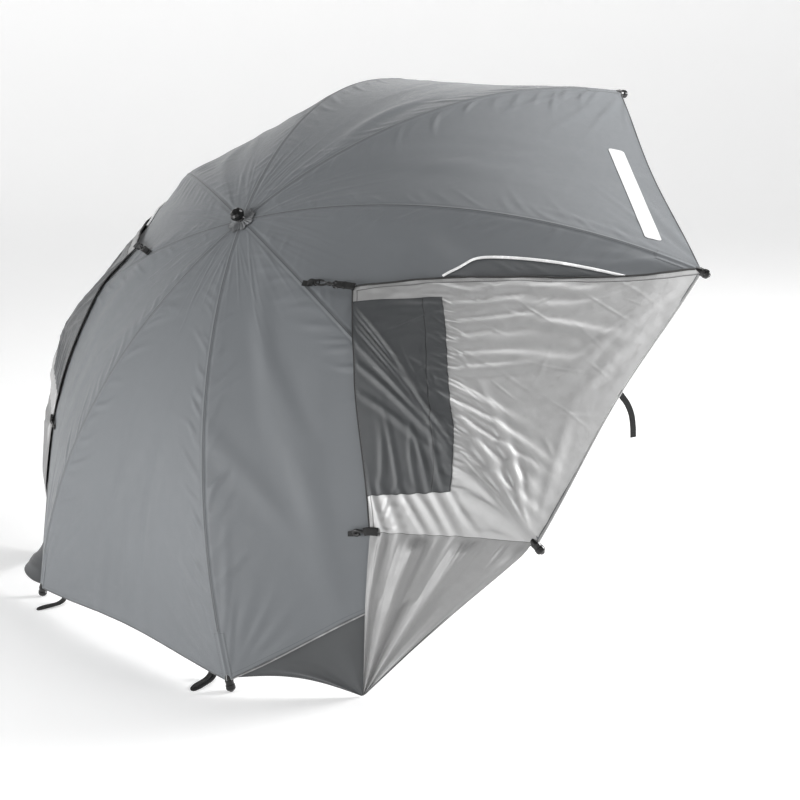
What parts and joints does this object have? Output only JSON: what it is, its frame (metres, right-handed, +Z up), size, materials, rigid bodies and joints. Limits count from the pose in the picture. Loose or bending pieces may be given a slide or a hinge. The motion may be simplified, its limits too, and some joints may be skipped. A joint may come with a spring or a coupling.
{
  "type": "umbrella beach shelter",
  "caption": "Large ribbed umbrella leaned back on its rim and pole as a sun shelter, with silver-lined side wings folded back and clipped over the cover.",
  "frame": {"origin": "on the ground under the middle of the shelter as it stands leaned back", "axes": "+X to the side, +Y towards the closed back, +Z up; the open mouth looks along -Y"},
  "size_m": [2.4576, 1.8995, 1.6662],
  "materials": {
    "cover_cloth": "woven polyester with a soft sheen",
    "silver_cloth": "silver coated polyester, creased",
    "skirt_cloth": "woven polyester, matt",
    "webbing": "flat woven webbing",
    "black_plastic": "moulded, fine grain",
    "gloss_plastic": "polished",
    "rib_steel": "zinc plated channel",
    "rib_rod": "pultruded fibreglass rod",
    "pole_paint": "powder coated steel tube"
  },
  "bodies": {
    "pole": {"pole_upper": "pole_paint", "hub": "black_plastic", "finial": "gloss_plastic", "crown_rosette": "skirt_cloth", "clamp_collar": "black_plastic"},
    "rib_inner_1": {"rib_inner_1": "rib_steel", "gore_inner_1": "cover_cloth"},
    "rib_outer_1": {"rib_outer_1": "rib_rod", "gore_outer_1": "cover_cloth", "skirt_left": "skirt_cloth", "peg_loop_left": "webbing"},
    "stretcher_1": {"stretcher_1": "rib_steel"},
    "rib_inner_2": {"rib_inner_2": "rib_steel", "gore_inner_2": "cover_cloth"},
    "rib_outer_2": {"rib_outer_2": "rib_rod", "gore_outer_2": "cover_cloth"},
    "stretcher_2": {"stretcher_2": "rib_steel"},
    "rib_inner_3": {"rib_inner_3": "rib_steel", "gore_inner_3": "cover_cloth"},
    "rib_outer_3": {"rib_outer_3": "rib_rod", "gore_outer_3": "cover_cloth"},
    "stretcher_3": {"stretcher_3": "rib_steel"},
    "rib_inner_4": {"rib_inner_4": "rib_steel", "gore_inner_4": "cover_cloth"},
    "rib_outer_4": {"rib_outer_4": "rib_rod", "gore_outer_4": "cover_cloth"},
    "stretcher_4": {"stretcher_4": "rib_steel"},
    "rib_inner_5": {"rib_inner_5": "rib_steel", "gore_inner_5": "cover_cloth"},
    "rib_outer_5": {"rib_outer_5": "rib_rod", "gore_outer_5": "cover_cloth"},
    "stretcher_5": {"stretcher_5": "rib_steel"},
    "rib_inner_6": {"rib_inner_6": "rib_steel", "gore_inner_6": "cover_cloth"},
    "rib_outer_6": {"rib_outer_6": "rib_rod", "gore_outer_6": "cover_cloth"},
    "stretcher_6": {"stretcher_6": "rib_steel"},
    "rib_inner_7": {"rib_inner_7": "rib_steel", "gore_inner_7": "cover_cloth"},
    "rib_outer_7": {"rib_outer_7": "rib_rod", "gore_outer_7": "cover_cloth"},
    "stretcher_7": {"stretcher_7": "rib_steel"},
    "rib_inner_8": {"rib_inner_8": "rib_steel", "gore_inner_8": "cover_cloth"},
    "rib_outer_8": {"rib_outer_8": "rib_rod", "gore_outer_8": "cover_cloth", "skirt_right": "skirt_cloth", "peg_loop_right": "webbing"},
    "stretcher_8": {"stretcher_8": "rib_steel"},
    "runner": {"runner": "black_plastic"},
    "runner_button": {"runner_button": "gloss_plastic"},
    "pole_lower": {"pole_lower": "pole_paint", "ground_spike": "black_plastic"},
    "clamp_screw": {"clamp_screw": "gloss_plastic"},
    "wing_right": {"wing_right": "silver_cloth", "wing_clip_right": "webbing"},
    "wing_foot_right": {"wing_foot_right": "silver_cloth"},
    "wing_left": {"wing_left": "silver_cloth", "wing_clip_left": "webbing"},
    "wing_foot_left": {"wing_foot_left": "silver_cloth"}
  },
  "joints": [
    {"name": "fold", "type": "hinge", "parent": "pole", "child": "rib_inner_1", "pos_m": [0.01072, 0.38442, 1.24882], "axis": [-0.9239, 0.2853, -0.2551], "range_deg": [0, 78], "deforming": ["gore_inner_1", "gore_outer_1", "gore_inner_2", "gore_outer_2", "gore_inner_3", "gore_outer_3", "gore_inner_4", "gore_outer_4", "gore_inner_5", "gore_outer_5", "gore_inner_6", "gore_outer_6", "gore_inner_7", "gore_outer_7", "gore_inner_8", "gore_outer_8", "wing_right", "wing_foot_right", "skirt_right", "wing_clip_right", "peg_loop_right", "wing_left", "wing_foot_left", "skirt_left", "wing_clip_left", "peg_loop_left"]},
    {"name": "rib_1_bend", "type": "hinge", "parent": "rib_inner_1", "child": "rib_outer_1", "pos_m": [0.19134, 0.66613, 0.90965], "axis": [-0.9239, 0.2853, -0.2551], "range_deg": [-25.01, 0]},
    {"name": "stretcher_1_hinge", "type": "hinge", "parent": "rib_inner_1", "child": "stretcher_1", "pos_m": [0.18323, 0.64593, 0.91645], "axis": [-0.9239, 0.2853, -0.2551], "range_deg": [-140.46, 0]},
    {"name": "rib_2_hinge", "type": "hinge", "parent": "pole", "child": "rib_inner_2", "pos_m": [0.02587, 0.37312, 1.25892], "axis": [-0.3827, 0.6887, -0.6158], "range_deg": [0, 78]},
    {"name": "rib_2_bend", "type": "hinge", "parent": "rib_inner_2", "child": "rib_outer_2", "pos_m": [0.46194, 0.4644, 1.09002], "axis": [-0.3827, 0.6887, -0.6158], "range_deg": [-25.01, 0]},
    {"name": "stretcher_2_hinge", "type": "hinge", "parent": "rib_inner_2", "child": "stretcher_2", "pos_m": [0.44235, 0.45276, 1.08917], "axis": [-0.3827, 0.6887, -0.6158], "range_deg": [-140.46, 0]},
    {"name": "rib_3_hinge", "type": "hinge", "parent": "pole", "child": "rib_inner_3", "pos_m": [0.02587, 0.35715, 1.2732], "axis": [0.3827, 0.6887, -0.6158], "range_deg": [0, 78]},
    {"name": "rib_3_bend", "type": "hinge", "parent": "rib_inner_3", "child": "rib_outer_3", "pos_m": [0.46194, 0.17912, 1.34509], "axis": [0.3827, 0.6887, -0.6158], "range_deg": [-25.01, 0]},
    {"name": "stretcher_3_hinge", "type": "hinge", "parent": "rib_inner_3", "child": "stretcher_3", "pos_m": [0.44235, 0.17958, 1.33342], "axis": [0.3827, 0.6887, -0.6158], "range_deg": [-140.46, 0]},
    {"name": "rib_4_hinge", "type": "hinge", "parent": "pole", "child": "rib_inner_4", "pos_m": [0.01072, 0.34585, 1.2833], "axis": [0.9239, 0.2853, -0.2551], "range_deg": [0, 78]},
    {"name": "rib_4_bend", "type": "hinge", "parent": "rib_inner_4", "child": "rib_outer_4", "pos_m": [0.19134, -0.0226, 1.52545], "axis": [0.9239, 0.2853, -0.2551], "range_deg": [-25.01, 0]},
    {"name": "stretcher_4_hinge", "type": "hinge", "parent": "rib_inner_4", "child": "stretcher_4", "pos_m": [0.18323, -0.01359, 1.50614], "axis": [0.9239, 0.2853, -0.2551], "range_deg": [-140.46, 0]},
    {"name": "rib_5_hinge", "type": "hinge", "parent": "pole", "child": "rib_inner_5", "pos_m": [-0.01072, 0.34585, 1.2833], "axis": [0.9239, -0.2853, 0.2551], "range_deg": [0, 78]},
    {"name": "rib_5_bend", "type": "hinge", "parent": "rib_inner_5", "child": "rib_outer_5", "pos_m": [-0.19134, -0.0226, 1.52545], "axis": [0.9239, -0.2853, 0.2551], "range_deg": [-25.01, 0]},
    {"name": "stretcher_5_hinge", "type": "hinge", "parent": "rib_inner_5", "child": "stretcher_5", "pos_m": [-0.18323, -0.01359, 1.50614], "axis": [0.9239, -0.2853, 0.2551], "range_deg": [-140.46, 0]},
    {"name": "rib_6_hinge", "type": "hinge", "parent": "pole", "child": "rib_inner_6", "pos_m": [-0.02587, 0.35715, 1.2732], "axis": [0.3827, -0.6887, 0.6158], "range_deg": [0, 78]},
    {"name": "rib_6_bend", "type": "hinge", "parent": "rib_inner_6", "child": "rib_outer_6", "pos_m": [-0.46194, 0.17912, 1.34509], "axis": [0.3827, -0.6887, 0.6158], "range_deg": [-25.01, 0]},
    {"name": "stretcher_6_hinge", "type": "hinge", "parent": "rib_inner_6", "child": "stretcher_6", "pos_m": [-0.44235, 0.17958, 1.33342], "axis": [0.3827, -0.6887, 0.6158], "range_deg": [-140.46, 0]},
    {"name": "rib_7_hinge", "type": "hinge", "parent": "pole", "child": "rib_inner_7", "pos_m": [-0.02587, 0.37312, 1.25892], "axis": [-0.3827, -0.6887, 0.6158], "range_deg": [0, 78]},
    {"name": "rib_7_bend", "type": "hinge", "parent": "rib_inner_7", "child": "rib_outer_7", "pos_m": [-0.46194, 0.4644, 1.09002], "axis": [-0.3827, -0.6887, 0.6158], "range_deg": [-25.01, 0]},
    {"name": "stretcher_7_hinge", "type": "hinge", "parent": "rib_inner_7", "child": "stretcher_7", "pos_m": [-0.44235, 0.45276, 1.08917], "axis": [-0.3827, -0.6887, 0.6158], "range_deg": [-140.46, 0]},
    {"name": "rib_8_hinge", "type": "hinge", "parent": "pole", "child": "rib_inner_8", "pos_m": [-0.01072, 0.38442, 1.24882], "axis": [-0.9239, -0.2853, 0.2551], "range_deg": [0, 78]},
    {"name": "rib_8_bend", "type": "hinge", "parent": "rib_inner_8", "child": "rib_outer_8", "pos_m": [-0.19134, 0.66613, 0.90965], "axis": [-0.9239, -0.2853, 0.2551], "range_deg": [-25.01, 0]},
    {"name": "stretcher_8_hinge", "type": "hinge", "parent": "rib_inner_8", "child": "stretcher_8", "pos_m": [-0.18323, 0.64593, 0.91645], "axis": [-0.9239, -0.2853, 0.2551], "range_deg": [-140.46, 0]},
    {"name": "runner_slide", "type": "slide", "parent": "pole", "child": "runner", "axis": [0, -0.6665, -0.7455], "range_m": [0, 0.66929]},
    {"name": "runner_button_press", "type": "slide", "parent": "runner", "child": "runner_button", "axis": [0, 0.7455, -0.6665], "range_m": [0, 0.002], "stiffness_N_per_m": 100},
    {"name": "pole_slide", "type": "slide", "parent": "pole", "child": "pole_lower", "axis": [0, 0.6665, 0.7455], "range_m": [0, 0.4]},
    {"name": "clamp_screw_turn", "type": "hinge", "parent": "pole", "child": "clamp_screw", "pos_m": [0, -0.38922, 0.46497], "axis": [0, -0.7455, 0.6665], "range_deg": [0, 540]},
    {"name": "wing_right_swing", "type": "hinge", "parent": "rib_outer_7", "child": "wing_right", "pos_m": [-1.20843, 0.36328, 0.51301], "axis": [0, -0.7455, 0.6665], "range_deg": [0, 260.68]},
    {"name": "wing_foot_right_swing", "type": "hinge", "parent": "rib_outer_7", "child": "wing_foot_right", "pos_m": [-1.20843, 0.36328, 0.51301], "axis": [0.5794, 0.367, -0.7277], "range_deg": [-209.89, 0]},
    {"name": "wing_left_swing", "type": "hinge", "parent": "rib_outer_2", "child": "wing_left", "pos_m": [1.20843, 0.36328, 0.51301], "axis": [0, 0.7455, -0.6665], "range_deg": [0, 260.68]},
    {"name": "wing_foot_left_swing", "type": "hinge", "parent": "rib_outer_2", "child": "wing_foot_left", "pos_m": [1.20843, 0.36328, 0.51301], "axis": [0.5794, -0.367, 0.7277], "range_deg": [-209.89, 0]}
  ],
  "couplings": [
    {"joint": "rib_1_bend", "follows": "fold", "ratio": -0.32051},
    {"joint": "stretcher_1_hinge", "follows": "fold", "ratio": -1.8006},
    {"joint": "rib_2_hinge", "follows": "fold", "ratio": 1},
    {"joint": "rib_2_bend", "follows": "fold", "ratio": -0.32051},
    {"joint": "stretcher_2_hinge", "follows": "fold", "ratio": -1.8006},
    {"joint": "rib_3_hinge", "follows": "fold", "ratio": 1},
    {"joint": "rib_3_bend", "follows": "fold", "ratio": -0.32051},
    {"joint": "stretcher_3_hinge", "follows": "fold", "ratio": -1.8006},
    {"joint": "rib_4_hinge", "follows": "fold", "ratio": 1},
    {"joint": "rib_4_bend", "follows": "fold", "ratio": -0.32051},
    {"joint": "stretcher_4_hinge", "follows": "fold", "ratio": -1.8006},
    {"joint": "rib_5_hinge", "follows": "fold", "ratio": 1},
    {"joint": "rib_5_bend", "follows": "fold", "ratio": -0.32051},
    {"joint": "stretcher_5_hinge", "follows": "fold", "ratio": -1.8006},
    {"joint": "rib_6_hinge", "follows": "fold", "ratio": 1},
    {"joint": "rib_6_bend", "follows": "fold", "ratio": -0.32051},
    {"joint": "stretcher_6_hinge", "follows": "fold", "ratio": -1.8006},
    {"joint": "rib_7_hinge", "follows": "fold", "ratio": 1},
    {"joint": "rib_7_bend", "follows": "fold", "ratio": -0.32051},
    {"joint": "stretcher_7_hinge", "follows": "fold", "ratio": -1.8006},
    {"joint": "rib_8_hinge", "follows": "fold", "ratio": 1},
    {"joint": "rib_8_bend", "follows": "fold", "ratio": -0.32051},
    {"joint": "stretcher_8_hinge", "follows": "fold", "ratio": -1.8006},
    {"joint": "runner_slide", "follows": "fold", "m_per_rad": 0.49163},
    {"joint": "wing_foot_right_swing", "follows": "wing_right_swing", "ratio": -0.80511},
    {"joint": "wing_foot_left_swing", "follows": "wing_left_swing", "ratio": -0.80511}
  ]
}
